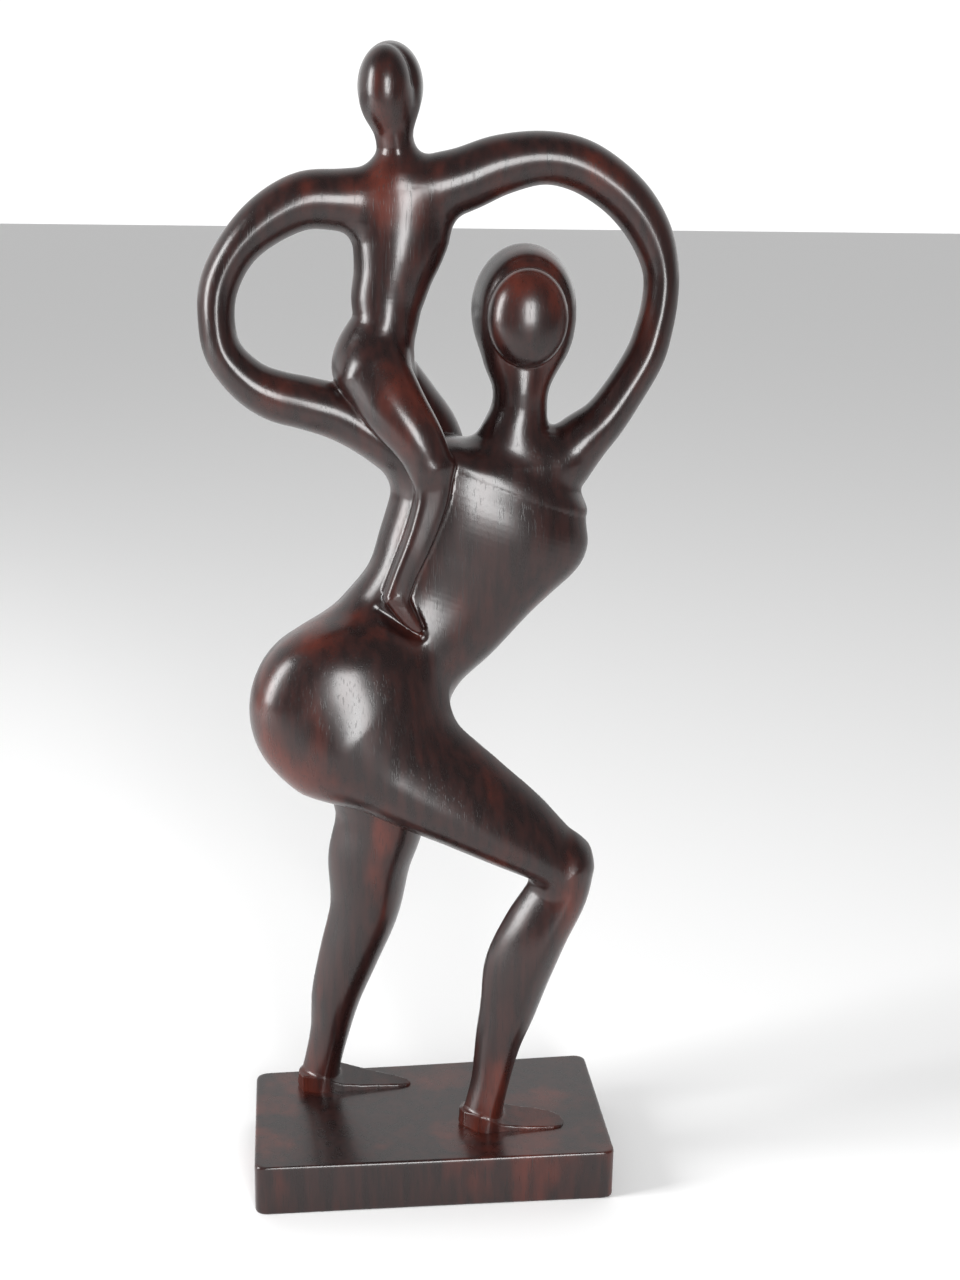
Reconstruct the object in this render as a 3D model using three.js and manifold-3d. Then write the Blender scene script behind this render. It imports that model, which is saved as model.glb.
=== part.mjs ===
// Parent and child: two figures and their block base, carved from one piece of dark wood.
// Millimetres, +Z up, origin at the middle of the base's underside. The parent's body is seen
// in profile and faces +X; the near side is -Y.
import * as THREE from 'three';
import { mergeVertices } from 'three/addons/utils/BufferGeometryUtils.js';
import Module from 'manifold-3d';

const wasm = await Module();
wasm.setup();

// Block base: four hand-cut sides, a little out of square
const BASE_HEIGHT = 27;
const BASE_CORNERS = [[-92, -47], [92, -49], [93, 50], [-91, 46]];
const BASE_CORNER_RADIUS = 6;
const BASE_EDGE = 0.8;

// Middle plane of the upright figures, and the cell of the carved surface
const MIDDLE = 4;
const CELL = 7.5;
const FIGURE_LOW = [-120, -55, 10];
const FIGURE_HIGH = [124, 64, 578];

// Each station of a limb is [x, y, z, half width, half depth, sideways shift]:
// the half width lies in the figure's XZ plane, across the limb, and the half depth along Y.
const SAMPLE_STEP = 3;

function limb({ power = 2, startCap = null, endCap = null }, stations) {
  const centre = new THREE.CatmullRomCurve3(
    stations.map(([x, y, z]) => new THREE.Vector3(x, y, z)), false, 'centripetal');
  const section = new THREE.CatmullRomCurve3(
    stations.map(([, , , width, depth, shift = 0]) => new THREE.Vector3(width, depth, shift)),
    false, 'centripetal');
  centre.arcLengthDivisions = 400;
  const length = centre.getLength();
  const count = Math.max(2, Math.ceil(length / SAMPLE_STEP));
  const samples = [];
  for (let i = 0; i <= count; i++) {
    const t = centre.getUtoTmapping(i / count);
    const point = centre.getPoint(t);
    const along = centre.getTangent(t);
    const depthAxis = new THREE.Vector3(0, 1, 0).addScaledVector(along, -along.y).normalize();
    const widthAxis = depthAxis.clone().cross(along);
    const { x: width, y: depth, z: shift } = section.getPoint(t);
    samples.push({ point, along, depthAxis, widthAxis, width, depth, shift });
  }
  const reach = Math.max(...samples.map((s) => Math.max(s.width + Math.abs(s.shift), s.depth)));
  const box = new THREE.Box3().setFromPoints(samples.map((s) => s.point)).expandByScalar(reach);
  return { samples, step: length / count, power, startCap, endCap, box };
}

// Signed distance, near enough for blending, from a point to a limb's surface
const offset = new THREE.Vector3();
const FAR = 40;

function limbDistance(shape, point) {
  const { samples, step, power, box } = shape;
  if (box.distanceToPoint(point) > 16) return FAR;
  let nearest = 0;
  let shortest = Infinity;
  for (let i = 0; i < samples.length; i++) {
    const gap = point.distanceToSquared(samples[i].point);
    if (gap < shortest) {
      shortest = gap;
      nearest = i;
    }
  }
  const last = samples.length - 1;
  offset.subVectors(point, samples[nearest].point);
  const lean = THREE.MathUtils.clamp(offset.dot(samples[nearest].along) / step, -0.5, 0.5);
  const place = THREE.MathUtils.clamp(nearest + lean, 0, last);
  const index = Math.min(Math.floor(place), last - 1);
  const part = place - index;
  const a = samples[index];
  const b = samples[index + 1];
  const mix = (p, q) => p + (q - p) * part;
  const dot = (p, q) => mix(offset.dot(p), offset.dot(q));
  offset.subVectors(point, a.point).addScaledVector(a.point, part).addScaledVector(b.point, -part);
  const width = mix(a.width, b.width);
  const depth = mix(a.depth, b.depth);
  const across = dot(a.widthAxis, b.widthAxis) - mix(a.shift, b.shift);
  const through = dot(a.depthAxis, b.depthAxis);
  let beyond = 0;
  let cap = Math.min(width, depth);
  if (place <= 0) {
    beyond = Math.min(offset.dot(samples[0].along), 0);
    cap = shape.startCap ?? cap;
  } else if (place >= last) {
    beyond = Math.max(offset.dot(samples[last].along), 0);
    cap = shape.endCap ?? cap;
  }
  return roundDistance([across, through, beyond], [width, depth, cap], power);
}

// Distance from a superellipsoid centred on zero, scaled along the ray from its centre
function roundDistance(place, radii, power) {
  let sum = 0;
  let square = 0;
  for (let k = 0; k < 3; k++) {
    sum += Math.abs(place[k] / radii[k]) ** power;
    square += place[k] * place[k];
  }
  const scale = Math.max(sum ** (1 / power), 1e-6);
  const deepest = -Math.min(...radii);
  return Math.max(Math.sqrt(square) * (1 - 1 / scale), deepest);
}

function egg(centre, radii) {
  return (p) => roundDistance([p.x - centre[0], p.y - centre[1], p.z - centre[2]], radii, 2);
}

// Union of two distances with a hollow of the given size worked into the crease
function blend(size, ...distances) {
  return distances.reduce((a, b) => {
    const h = THREE.MathUtils.clamp(0.5 + (0.5 * (b - a)) / size, 0, 1);
    return b + (a - b) * h - size * h * (1 - h);
  });
}

// The parent
const HIP_NEAR = egg([-46.5, -12, 258], [44, 30, 44.5]);
const HIP_FAR = egg([-45.5, 22, 247.5], [45, 28, 45.5]);
const HEAD = { centre: [43.5, MIDDLE, 447.5], radii: [23.5, 23.5, 29.5] };
const FACE = { centre: [42, MIDDLE - 12, 446], radii: [18.5, 16, 23] };
const THIGH_NEAR = limb({ power: 1.9, endCap: 9 }, [
  [-35.5, -14, 251.5, 39, 30],
  [-10, -17, 230, 30, 28],
  [16.5, -19, 212.5, 24.5, 25],
  [41, -19, 195.5, 20, 21.5],
  [59, -19, 181.5, 15.5, 18],
  [66, -19, 175, 15, 16],
]);
const SHIN_NEAR = limb({ power: 1.75, endCap: 3 }, [
  [66.5, -19, 176, 14.5, 15.5],
  [62.5, -19, 161, 15.5, 16.5],
  [52, -18, 140, 17, 18],
  [44, -17, 119.5, 17.5, 17],
  [39, -16, 95, 14.5, 14.5],
  [34.5, -15, 75.5, 12, 12],
  [30, -14, 52.5, 9.5, 10.5],
  [27, -14, 37, 9.5, 10.5],
  [26.5, -14, 27, 10.5, 10.5],
]);
const LEG_FAR = limb({ power: 1.75, endCap: 3 }, [
  [-32.5, 20, 232.5, 31.5, 26],
  [-24.5, 26, 188, 24.5, 23],
  [-29.5, 28, 162.5, 22, 21.5],
  [-32, 30, 134, 18.5, 19],
  [-40, 31, 107, 16, 16.5],
  [-47, 32, 83, 13.5, 14.5],
  [-51, 33, 59, 10.5, 12],
  [-55.5, 33, 38, 9.5, 10.5],
  [-57.5, 33, 24, 11, 10.5],
]);
const TORSO = limb({ power: 2.3, endCap: 8 }, [
  [-19.5, MIDDLE, 256.5, 37, 33, -11],
  [-12.5, MIDDLE, 275.5, 38.5, 30, -11],
  [-5.5, MIDDLE, 294.5, 39.5, 27.5, -2],
  [1.5, MIDDLE, 313.5, 40.5, 26, 5.5],
  [8, MIDDLE, 332, 45.5, 26.5, 10],
  [14.5, MIDDLE, 349.5, 50, 27.5, 13],
  [18.5, MIDDLE, 361, 50, 27, 11],
  [23.5, MIDDLE, 373.5, 46.5, 24, 8],
  [25.5, MIDDLE, 379, 42, 21, 6],
]);
const NECK = limb({ endCap: 10 }, [
  [39, MIDDLE - 2, 379.5, 28, 20],
  [39, MIDDLE - 2, 391.5, 17, 15],
  [40.5, MIDDLE - 2, 402, 13.5, 13.5],
  [41, MIDDLE - 2, 411.5, 13.5, 14],
  [41.5, MIDDLE, 423, 18.5, 19.5],
  [42.5, MIDDLE, 434, 22, 22.5],
  [42.5, MIDDLE, 442.5, 22, 22.5],
]);

// The arms that both figures share
const ARM_LEFT = limb({ power: 1.65 }, [
  [-27, MIDDLE, 496.5, 18.5, 13],
  [-44, MIDDLE, 497.5, 14, 12.5],
  [-60.5, MIDDLE, 497, 13, 12.5],
  [-77.5, MIDDLE, 488.5, 11.5, 12],
  [-91.5, MIDDLE, 475, 9.5, 11.5],
  [-100, MIDDLE, 458.5, 9, 11],
  [-101.5, MIDDLE, 443, 8.5, 11],
  [-98.5, MIDDLE, 428, 9, 11],
  [-87, MIDDLE, 414, 11, 11.5],
  [-75, MIDDLE, 407.5, 12.5, 12],
  [-61, MIDDLE, 404, 13, 13],
  [-45.5, MIDDLE, 400, 13, 14],
  [-30.5, MIDDLE, 391.5, 12.5, 16],
  [-15, MIDDLE, 380, 12.5, 20],
  [3, MIDDLE, 362.5, 17.5, 24],
]);
const ARM_RIGHT = limb({ power: 1.65 }, [
  [-16.5, MIDDLE, 498, 16.5, 14],
  [-3, MIDDLE, 502.5, 16.5, 14],
  [13, MIDDLE, 507.5, 14.5, 13],
  [29.5, MIDDLE, 514, 13.5, 12.5],
  [50, MIDDLE, 517.5, 12, 12],
  [66.5, MIDDLE, 514.5, 12, 12],
  [83, MIDDLE, 505, 11.5, 12],
  [94, MIDDLE, 494.5, 11, 12],
  [102.5, MIDDLE, 481, 10, 11.5],
  [107, MIDDLE, 466, 8.5, 11],
  [107, MIDDLE, 452.5, 8.5, 11],
  [104.5, MIDDLE, 438.5, 9, 11],
  [101, MIDDLE, 427, 9.5, 11.5],
  [89.5, MIDDLE, 407, 10, 12],
  [81.5, MIDDLE, 396, 11, 13],
  [71, MIDDLE, 386, 13.5, 15],
  [58, MIDDLE, 372, 18.5, 19],
  [44.5, MIDDLE, 357, 22.5, 23],
]);

// The child, astride the parent's shoulder
const CHILD_HEAD = { centre: [-22, MIDDLE, 547.5], radii: [14.5, 15.5, 19.5] };
const CHILD_FACE = { centre: [-25, MIDDLE - 7, 547.5], radii: [11, 11, 15.5] };
const CHILD_HIP = egg([-30, MIDDLE, 422], [17.5, 19, 17]);
const CHILD_NECK = limb({ endCap: 6 }, [
  [-18, MIDDLE, 512, 15.5, 12],
  [-18.5, MIDDLE, 520, 9.5, 9.5],
  [-19.5, MIDDLE, 526, 9, 9.5],
  [-20.5, MIDDLE, 536.5, 12, 13],
  [-21.5, MIDDLE, 542.5, 13, 14.5],
]);
const CHILD_CHEST = limb({ power: 2, endCap: 8 }, [
  [-17.5, MIDDLE, 503, 19, 14],
  [-15.5, MIDDLE, 488, 23.5, 15.5],
  [-17.5, MIDDLE, 476, 21.5, 16],
  [-20, MIDDLE, 464, 19, 16],
]);
const CHILD_WAIST = limb({ power: 2.1 }, [
  [-17.5, MIDDLE, 476, 20.5, 15],
  [-20, MIDDLE, 464, 18.5, 15.5],
  [-22.5, MIDDLE, 452.5, 17, 14.5],
  [-23.5, MIDDLE, 442.5, 15.5, 15],
  [-27, MIDDLE, 431.5, 17, 17],
  [-28.5, MIDDLE, 420, 17, 18],
]);
const CHILD_THIGH_NEAR = limb({ power: 1.9, endCap: 7 }, [
  [-29.5, -7, 420.5, 17, 14],
  [-20, -15, 405, 15, 13.5],
  [-10, -22, 391, 13, 12],
  [-3.5, -25, 381.5, 11, 10.5],
  [-3, -26, 372, 8.5, 9.5],
]);
const CHILD_THIGH_FAR = limb({ power: 1.9, endCap: 7 }, [
  [-26, 13, 418, 17.5, 14],
  [-11, 20, 403.5, 14, 13.5],
  [2, 26, 388.5, 12, 12],
  [8, 30, 378, 11, 10.5],
  [8.5, 31, 368, 8.5, 9.5],
]);

// Soft carved body of both figures, without the crisp faces, lower legs and feet
function figureDistance(p) {
  const at = (shape) => limbDistance(shape, p);
  const hips = blend(6, HIP_NEAR(p), HIP_FAR(p));
  const trunk = blend(13, hips, at(TORSO));
  const legs = blend(6, blend(5, blend(12, trunk, at(THIGH_NEAR)), at(LEG_FAR)), at(SHIN_NEAR));
  const armLeft = at(ARM_LEFT);
  const armRight = at(ARM_RIGHT);
  const head = blend(5, at(NECK), egg(HEAD.centre, HEAD.radii)(p));
  const parent = blend(9, blend(8, legs, armLeft, armRight), head);
  const hip = blend(8, at(CHILD_WAIST), CHILD_HIP(p));
  const child = blend(5, hip, blend(4, at(CHILD_THIGH_NEAR), at(CHILD_THIGH_FAR)));
  const childHead = blend(4, egg(CHILD_HEAD.centre, CHILD_HEAD.radii)(p), at(CHILD_NECK));
  const chest = blend(8, blend(12, at(CHILD_CHEST), blend(8, armLeft, armRight)), childHead);
  return Math.min(blend(2.5, parent, child), chest);
}

// Edges and faces of a cell: an edge is numbered by its axis and by its offsets along the two
// other axes, and a face by the axis that it crosses and its side
const edgeNumber = (axis, first, second) => axis * 4 + first + 2 * second;
const CELL_EDGES = [];
for (let axis = 0; axis < 3; axis++) {
  for (let corner = 0; corner < 4; corner++) {
    const start = [0, 0, 0];
    start[(axis + 1) % 3] = corner & 1;
    start[(axis + 2) % 3] = corner >> 1;
    CELL_EDGES.push({ axis, start });
  }
}
const CELL_FACES = [];
for (let across = 0; across < 3; across++) {
  for (const side of [0, 1]) {
    const u = (across + 1) % 3;
    const v = (across + 2) % 3;
    const pairs = [];
    for (const [atU, atV] of [[0, 0], [1, 0], [0, 1], [1, 1]]) {
      const corner = [0, 0, 0];
      corner[across] = side;
      corner[u] = atU;
      corner[v] = atV;
      pairs.push({ corner, edges: [edgeNumber(u, atV, side), edgeNumber(v, side, atU)] });
    }
    CELL_FACES.push(pairs);
  }
}

// Closed surface of a field's zero level: one vertex for each patch of the surface that passes
// through a cell, slid onto the surface, and two triangles round each crossed edge of the grid
function carvedSurface(distance, low, high, cell) {
  const count = low.map((value, k) => Math.ceil((high[k] - value) / cell) + 1);
  const at = (i, j, k) => (i * count[1] + j) * count[2] + k;
  const values = new Float64Array(count[0] * count[1] * count[2]);
  const point = new THREE.Vector3();
  for (let i = 0; i < count[0]; i++) {
    for (let j = 0; j < count[1]; j++) {
      for (let k = 0; k < count[2]; k++) {
        point.set(low[0] + i * cell, low[1] + j * cell, low[2] + k * cell);
        values[at(i, j, k)] = distance(point);
      }
    }
  }
  const stride = [at(1, 0, 0), at(0, 1, 0), at(0, 0, 1)];
  const cornerValue = (node, [x, y, z]) => (
    values[node + x * stride[0] + y * stride[1] + z * stride[2]]);
  const positions = [];

  // Where each crossed edge of a cell meets the surface, keyed by the edge's number
  const crossingsOf = (node) => {
    const crossings = new Map();
    CELL_EDGES.forEach(({ axis, start }, edge) => {
      const from = cornerValue(node, start);
      const to = values[node + start[0] * stride[0] + start[1] * stride[1]
        + start[2] * stride[2] + stride[axis]];
      if (from < 0 === to < 0) return;
      const place = [...start];
      place[axis] = from / (from - to);
      crossings.set(edge, place);
    });
    return crossings;
  };

  // The vertex of each crossed edge: edges that a face joins belong to one patch
  const cellVertices = (node) => {
    const crossings = crossingsOf(node);
    const patch = new Map([...crossings.keys()].map((edge) => [edge, edge]));
    const join = (a, b) => {
      const [from, to] = [patch.get(a), patch.get(b)];
      patch.forEach((value, edge) => { if (value === from) patch.set(edge, to); });
    };
    for (const face of CELL_FACES) {
      const crossed = [...new Set(face.flatMap((pair) => pair.edges))]
        .filter((edge) => crossings.has(edge));
      if (crossed.length === 2) join(...crossed);
      if (crossed.length < 4) continue;
      face.filter((pair) => cornerValue(node, pair.corner) < 0)
        .forEach((pair) => join(...pair.edges));
    }
    const home = [Math.floor(node / stride[0]), Math.floor(node / stride[1]) % count[1],
      node % count[2]];
    const vertices = new Map();
    for (const name of new Set(patch.values())) {
      const edges = [...patch.keys()].filter((edge) => patch.get(edge) === name);
      const middle = low.map((value, k) => {
        const sum = edges.reduce((total, edge) => total + crossings.get(edge)[k], 0);
        return value + (home[k] + sum / edges.length) * cell;
      });
      edges.forEach((edge) => vertices.set(edge, positions.length / 3));
      positions.push(...slideOn(distance, new THREE.Vector3(...middle), cell));
    }
    return vertices;
  };
  const cells = new Map();
  const vertex = (node, edge) => {
    if (!cells.has(node)) cells.set(node, cellVertices(node));
    return cells.get(node).get(edge);
  };

  const triangles = [];
  for (let i = 1; i < count[0] - 1; i++) {
    for (let j = 1; j < count[1] - 1; j++) {
      for (let k = 1; k < count[2] - 1; k++) {
        const node = at(i, j, k);
        for (let axis = 0; axis < 3; axis++) {
          const inside = values[node] < 0;
          if (inside === values[node + stride[axis]] < 0) continue;
          const ring = [[1, 1], [0, 1], [0, 0], [1, 0]].map(([u, v]) => vertex(
            node - u * stride[(axis + 1) % 3] - v * stride[(axis + 2) % 3],
            edgeNumber(axis, u, v)));
          if (!inside) ring.reverse();
          triangles.push(ring[0], ring[1], ring[2], ring[0], ring[2], ring[3]);
        }
      }
    }
  }
  const geometry = new THREE.BufferGeometry();
  geometry.setAttribute('position', new THREE.Float32BufferAttribute(positions, 3));
  geometry.setIndex(triangles);
  return geometry;
}

function slideOn(distance, point, cell) {
  const start = point.clone();
  const probe = new THREE.Vector3();
  const reach = 0.05 * cell;
  for (let round = 0; round < 3; round++) {
    const slope = ['x', 'y', 'z'].map((axis) => {
      probe.copy(point)[axis] += reach;
      const ahead = distance(probe);
      probe.copy(point)[axis] -= reach;
      return (ahead - distance(probe)) / (2 * reach);
    });
    const direction = new THREE.Vector3(...slope);
    const steepness = Math.max(direction.lengthSq(), 0.2);
    point.addScaledVector(direction, -distance(point) / steepness);
  }
  const moved = point.clone().sub(start).clampLength(0, 0.45 * cell);
  return start.add(moved).toArray();
}

// Closed tube of superelliptic rings along a limb's stations
function sweptLimb(shape, rings, sides) {
  const positions = [];
  const triangles = [];
  const last = shape.samples.length - 1;
  for (let i = 0; i <= rings; i++) {
    const s = shape.samples[Math.round((i / rings) * last)];
    for (let j = 0; j < sides; j++) {
      const angle = (j / sides) * 2 * Math.PI;
      const bulge = (value) => Math.sign(value) * Math.abs(value) ** (2 / shape.power);
      const place = s.point.clone()
        .addScaledVector(s.widthAxis, s.width * bulge(Math.cos(angle)))
        .addScaledVector(s.depthAxis, s.depth * bulge(Math.sin(angle)));
      positions.push(...place.toArray());
    }
  }
  const ends = [[0, -(shape.startCap ?? 3)], [last, shape.endCap ?? 3]];
  for (const [index, reach] of ends) {
    const s = shape.samples[index];
    positions.push(...s.point.clone().addScaledVector(s.along, reach).toArray());
  }
  const tip = (rings + 1) * sides;
  for (let j = 0; j < sides; j++) {
    const next = (j + 1) % sides;
    for (let i = 0; i < rings; i++) {
      const here = i * sides;
      const there = here + sides;
      triangles.push(here + j, here + next, there + j, here + next, there + next, there + j);
    }
    triangles.push(tip, next, j, tip + 1, rings * sides + j, rings * sides + next);
  }
  const geometry = new THREE.BufferGeometry();
  geometry.setAttribute('position', new THREE.Float32BufferAttribute(positions, 3));
  geometry.setIndex(triangles);
  return geometry;
}

// The child's lower legs: cut in crisp low relief on the parent's flanks
const CHILD_SHIN_NEAR = limb({ power: 1.8, startCap: 2, endCap: 5 }, [
  [-1.5, -24, 377, 7, 7.5],
  [-3.5, -25, 367, 8.5, 9],
  [-8.5, -25, 348, 7.5, 8.5],
  [-13.5, -25, 330, 7, 8],
  [-18.5, -25, 314, 7, 8],
]);
const CHILD_FOOT_NEAR = limb({ power: 1.8, startCap: 3, endCap: 2 }, [
  [-21, -25, 315.5, 5, 8],
  [-14.5, -25, 305.5, 5, 7],
  [-9.5, -25, 299, 3.5, 6],
]);
const CHILD_SHIN_FAR = limb({ power: 1.8, startCap: 2, endCap: 5 }, [
  [9, 30, 373, 7, 7.5],
  [8, 31, 363, 8.5, 9],
  [5, 32, 348, 7.5, 8.5],
  [-0.5, 32, 328.5, 7, 8],
  [-6.5, 32, 305.5, 6.5, 8],
]);
const CHILD_FOOT_FAR = limb({ power: 1.8, startCap: 3, endCap: 2 }, [
  [-8.5, 32, 306, 5, 8],
  [-2.5, 32, 296, 4.5, 7],
  [2.5, 32, 290, 3, 5],
]);

function ellipsoid({ centre, radii }) {
  const geometry = new THREE.SphereGeometry(1, 18, 10);
  geometry.scale(...radii);
  geometry.translate(...centre);
  return geometry;
}

// A foot: flat outer side, wide sole, and a top that slopes down to a blunt toe
const FOOT_LENGTH = 55;
const FOOT_WIDTH = 22;
const FOOT_HEIGHT = 10;
const TOE_HEIGHT = 3.5;
const FOOT_SUNK = 4;

function foot(heelX, outerY) {
  const outline = new THREE.Shape();
  const back = FOOT_WIDTH * 0.75;
  outline.moveTo(3, 0);
  outline.lineTo(FOOT_LENGTH - 1, 0);
  outline.quadraticCurveTo(FOOT_LENGTH + 1, back * 0.5, FOOT_LENGTH - 5, back);
  outline.quadraticCurveTo(FOOT_LENGTH * 0.55, FOOT_WIDTH * 1.25, 3, back);
  outline.quadraticCurveTo(-1.5, back * 0.5, 3, 0);
  const geometry = new THREE.ExtrudeGeometry(outline, { depth: 1, bevelEnabled: false,
    curveSegments: 5 });
  const places = geometry.attributes.position;
  for (let i = 0; i < places.count; i++) {
    const along = places.getX(i) / FOOT_LENGTH;
    const top = FOOT_HEIGHT + (TOE_HEIGHT - FOOT_HEIGHT) * along;
    places.setZ(i, places.getZ(i) > 0.5 ? top : -FOOT_SUNK);
  }
  geometry.translate(heelX, outerY, BASE_HEIGHT);
  return geometry;
}

function base() {
  const corners = BASE_CORNERS.map(([x, y]) => new THREE.Vector2(x, y));
  const outline = new THREE.Shape();
  corners.forEach((corner, i) => {
    const before = corners[(i + 3) % 4].clone().sub(corner).setLength(BASE_CORNER_RADIUS);
    const after = corners[(i + 1) % 4].clone().sub(corner).setLength(BASE_CORNER_RADIUS);
    const start = before.add(corner);
    const end = after.add(corner);
    if (i === 0) outline.moveTo(start.x, start.y);
    else outline.lineTo(start.x, start.y);
    outline.quadraticCurveTo(corner.x, corner.y, end.x, end.y);
  });
  const geometry = new THREE.ExtrudeGeometry(outline, {
    depth: BASE_HEIGHT - 2 * BASE_EDGE, curveSegments: 5, bevelEnabled: true,
    bevelThickness: BASE_EDGE, bevelSize: BASE_EDGE, bevelOffset: -BASE_EDGE, bevelSegments: 1,
  });
  geometry.translate(0, 0, BASE_EDGE);
  return geometry;
}

function solid(geometry) {
  geometry.deleteAttribute('normal');
  geometry.deleteAttribute('uv');
  const merged = mergeVertices(geometry, 1e-3);
  return new wasm.Manifold(new wasm.Mesh({
    numProp: 3,
    vertProperties: new Float32Array(merged.attributes.position.array),
    triVerts: new Uint32Array(merged.index.array),
  }));
}

const carving = [
  carvedSurface(figureDistance, FIGURE_LOW, FIGURE_HIGH, CELL),
  base(),
  foot(14, -24.5),
  foot(-70, 22.5),
  ellipsoid(FACE),
  ellipsoid(CHILD_FACE),
  sweptLimb(CHILD_SHIN_NEAR, 6, 10),
  sweptLimb(CHILD_FOOT_NEAR, 2, 8),
  sweptLimb(CHILD_SHIN_FAR, 6, 10),
  sweptLimb(CHILD_FOOT_FAR, 2, 8),
].map(solid).reduce((whole, piece) => whole.add(piece));

const darkWood = new THREE.MeshStandardMaterial({ color: 0x2a1612, roughness: 0.35, metalness: 0 });

function namedMesh(name, body, material) {
  const { vertProperties, triVerts } = body.getMesh();
  const geometry = new THREE.BufferGeometry();
  geometry.setAttribute('position', new THREE.BufferAttribute(vertProperties, 3));
  geometry.setIndex(new THREE.BufferAttribute(triVerts, 1));
  geometry.computeVertexNormals();
  const mesh = new THREE.Mesh(geometry, material);
  mesh.name = name;
  return mesh;
}

const sculpture = new THREE.Group();
sculpture.add(namedMesh('parent_and_child_carving', carving, darkWood));

export default sculpture;
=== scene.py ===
"""Parent and child: two figures and their block base, carved from one piece of dark polished wood.

The carved forms are worked out in millimetres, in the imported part's frame: +Z up, the parent's
body in profile and facing +X, the near side at -Y. They are scaled to metres as they are made.
"""

import math

import bmesh
import bpy
import numpy as np
from mathutils import Matrix, Vector


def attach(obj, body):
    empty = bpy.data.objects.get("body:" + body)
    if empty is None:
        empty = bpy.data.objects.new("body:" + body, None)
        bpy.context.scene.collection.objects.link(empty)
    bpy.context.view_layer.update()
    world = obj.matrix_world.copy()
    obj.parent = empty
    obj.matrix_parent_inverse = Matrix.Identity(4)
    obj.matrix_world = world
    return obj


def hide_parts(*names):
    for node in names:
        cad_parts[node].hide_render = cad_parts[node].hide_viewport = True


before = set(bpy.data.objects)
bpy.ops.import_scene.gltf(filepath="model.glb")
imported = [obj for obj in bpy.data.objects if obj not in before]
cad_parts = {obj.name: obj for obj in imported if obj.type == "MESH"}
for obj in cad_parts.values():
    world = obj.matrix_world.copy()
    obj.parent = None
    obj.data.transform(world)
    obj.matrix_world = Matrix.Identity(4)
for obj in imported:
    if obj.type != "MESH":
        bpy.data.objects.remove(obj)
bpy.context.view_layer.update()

CARVING = "parent_and_child_carving"
MM = 0.001

# Camera: at the height of the child's arms, a little to the left, looking down
CAMERA_PLACE = (-79, -822, 530)
CAMERA_TURN = 7.1
CAMERA_DROP = 16.3
CAMERA_LEAN = 1.0
LENS = 49.2
SENSOR = 36


def photograph_camera():
    """Right, up and forward axes from the turn about Z, the drop below level and the lean."""
    turn, drop, lean = (math.radians(a) for a in (CAMERA_TURN, CAMERA_DROP, CAMERA_LEAN))
    forward = Vector((math.sin(turn) * math.cos(drop), math.cos(turn) * math.cos(drop),
                      -math.sin(drop)))
    level = Vector((math.cos(turn), -math.sin(turn), 0))
    upright = level.cross(forward)
    right = math.cos(lean) * level + math.sin(lean) * upright
    up = math.cos(lean) * upright - math.sin(lean) * level
    data = bpy.data.cameras.new("photograph_camera")
    data.lens = LENS
    data.sensor_width = SENSOR
    camera = bpy.data.objects.new("photograph_camera", data)
    bpy.context.scene.collection.objects.link(camera)
    turned = Matrix((right, up, -forward)).transposed().to_4x4()
    camera.matrix_world = Matrix.Translation(Vector(CAMERA_PLACE) * MM) @ turned
    bpy.context.scene.camera = camera
    return camera, forward, right, up


camera, VIEW_FORWARD, VIEW_RIGHT, VIEW_UP = photograph_camera()

# Middle plane of the upright figures, and the base's top
MIDDLE = 4
BASE_HEIGHT = 27
PATH_STEP = 3


def smooth_path(stations, step):
    """Catmull-Rom curve through the stations, timed by the root of their spacing, then
    resampled at equal steps along its length. Returns the rows and the step's true length."""
    rows = np.array(stations, float)
    ends = np.vstack([2 * rows[0] - rows[1], rows, 2 * rows[-1] - rows[-2]])
    pieces = []
    for i in range(len(rows) - 1):
        p = ends[i:i + 4]
        spans = np.sqrt(np.linalg.norm(np.diff(p[:, :3], axis=0), axis=1))
        t = np.concatenate([[0], np.cumsum(np.maximum(spans, 1e-3))])
        u = np.linspace(t[1], t[2], 24, endpoint=False)[:, None]

        def between(a, b, low, high):
            return ((high - u) * a + (u - low) * b) / (high - low)

        first = [between(p[k], p[k + 1], t[k], t[k + 1]) for k in range(3)]
        second = [between(first[k], first[k + 1], t[k], t[k + 2]) for k in range(2)]
        pieces.append(between(second[0], second[1], t[1], t[2]))
    curve = np.vstack(pieces + [rows[-1:]])
    lengths = np.linalg.norm(np.diff(curve[:, :3], axis=0), axis=1)
    along = np.concatenate([[0], np.cumsum(lengths)])
    count = max(3, math.ceil(along[-1] / step) + 1)
    places = np.linspace(0, along[-1], count)
    columns = [np.interp(places, along, curve[:, c]) for c in range(curve.shape[1])]
    return np.stack(columns, 1), along[-1] / (count - 1)


def round_distance(offsets, radii, power):
    """Distance r * (1 - 1/k) from a superellipsoid, where r is how far the point is from its
    centre and k is the point's scale, the power mean of its coordinates over the radii."""
    scale = sum(np.abs(o / r) ** power for o, r in zip(offsets, radii)) ** (1 / power)
    away = np.sqrt(sum(o * o for o in offsets))
    deepest = -np.minimum.reduce([np.broadcast_to(r, away.shape) for r in radii])
    return np.maximum(away * (1 - 1 / np.maximum(scale, 1e-6)), deepest)


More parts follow.
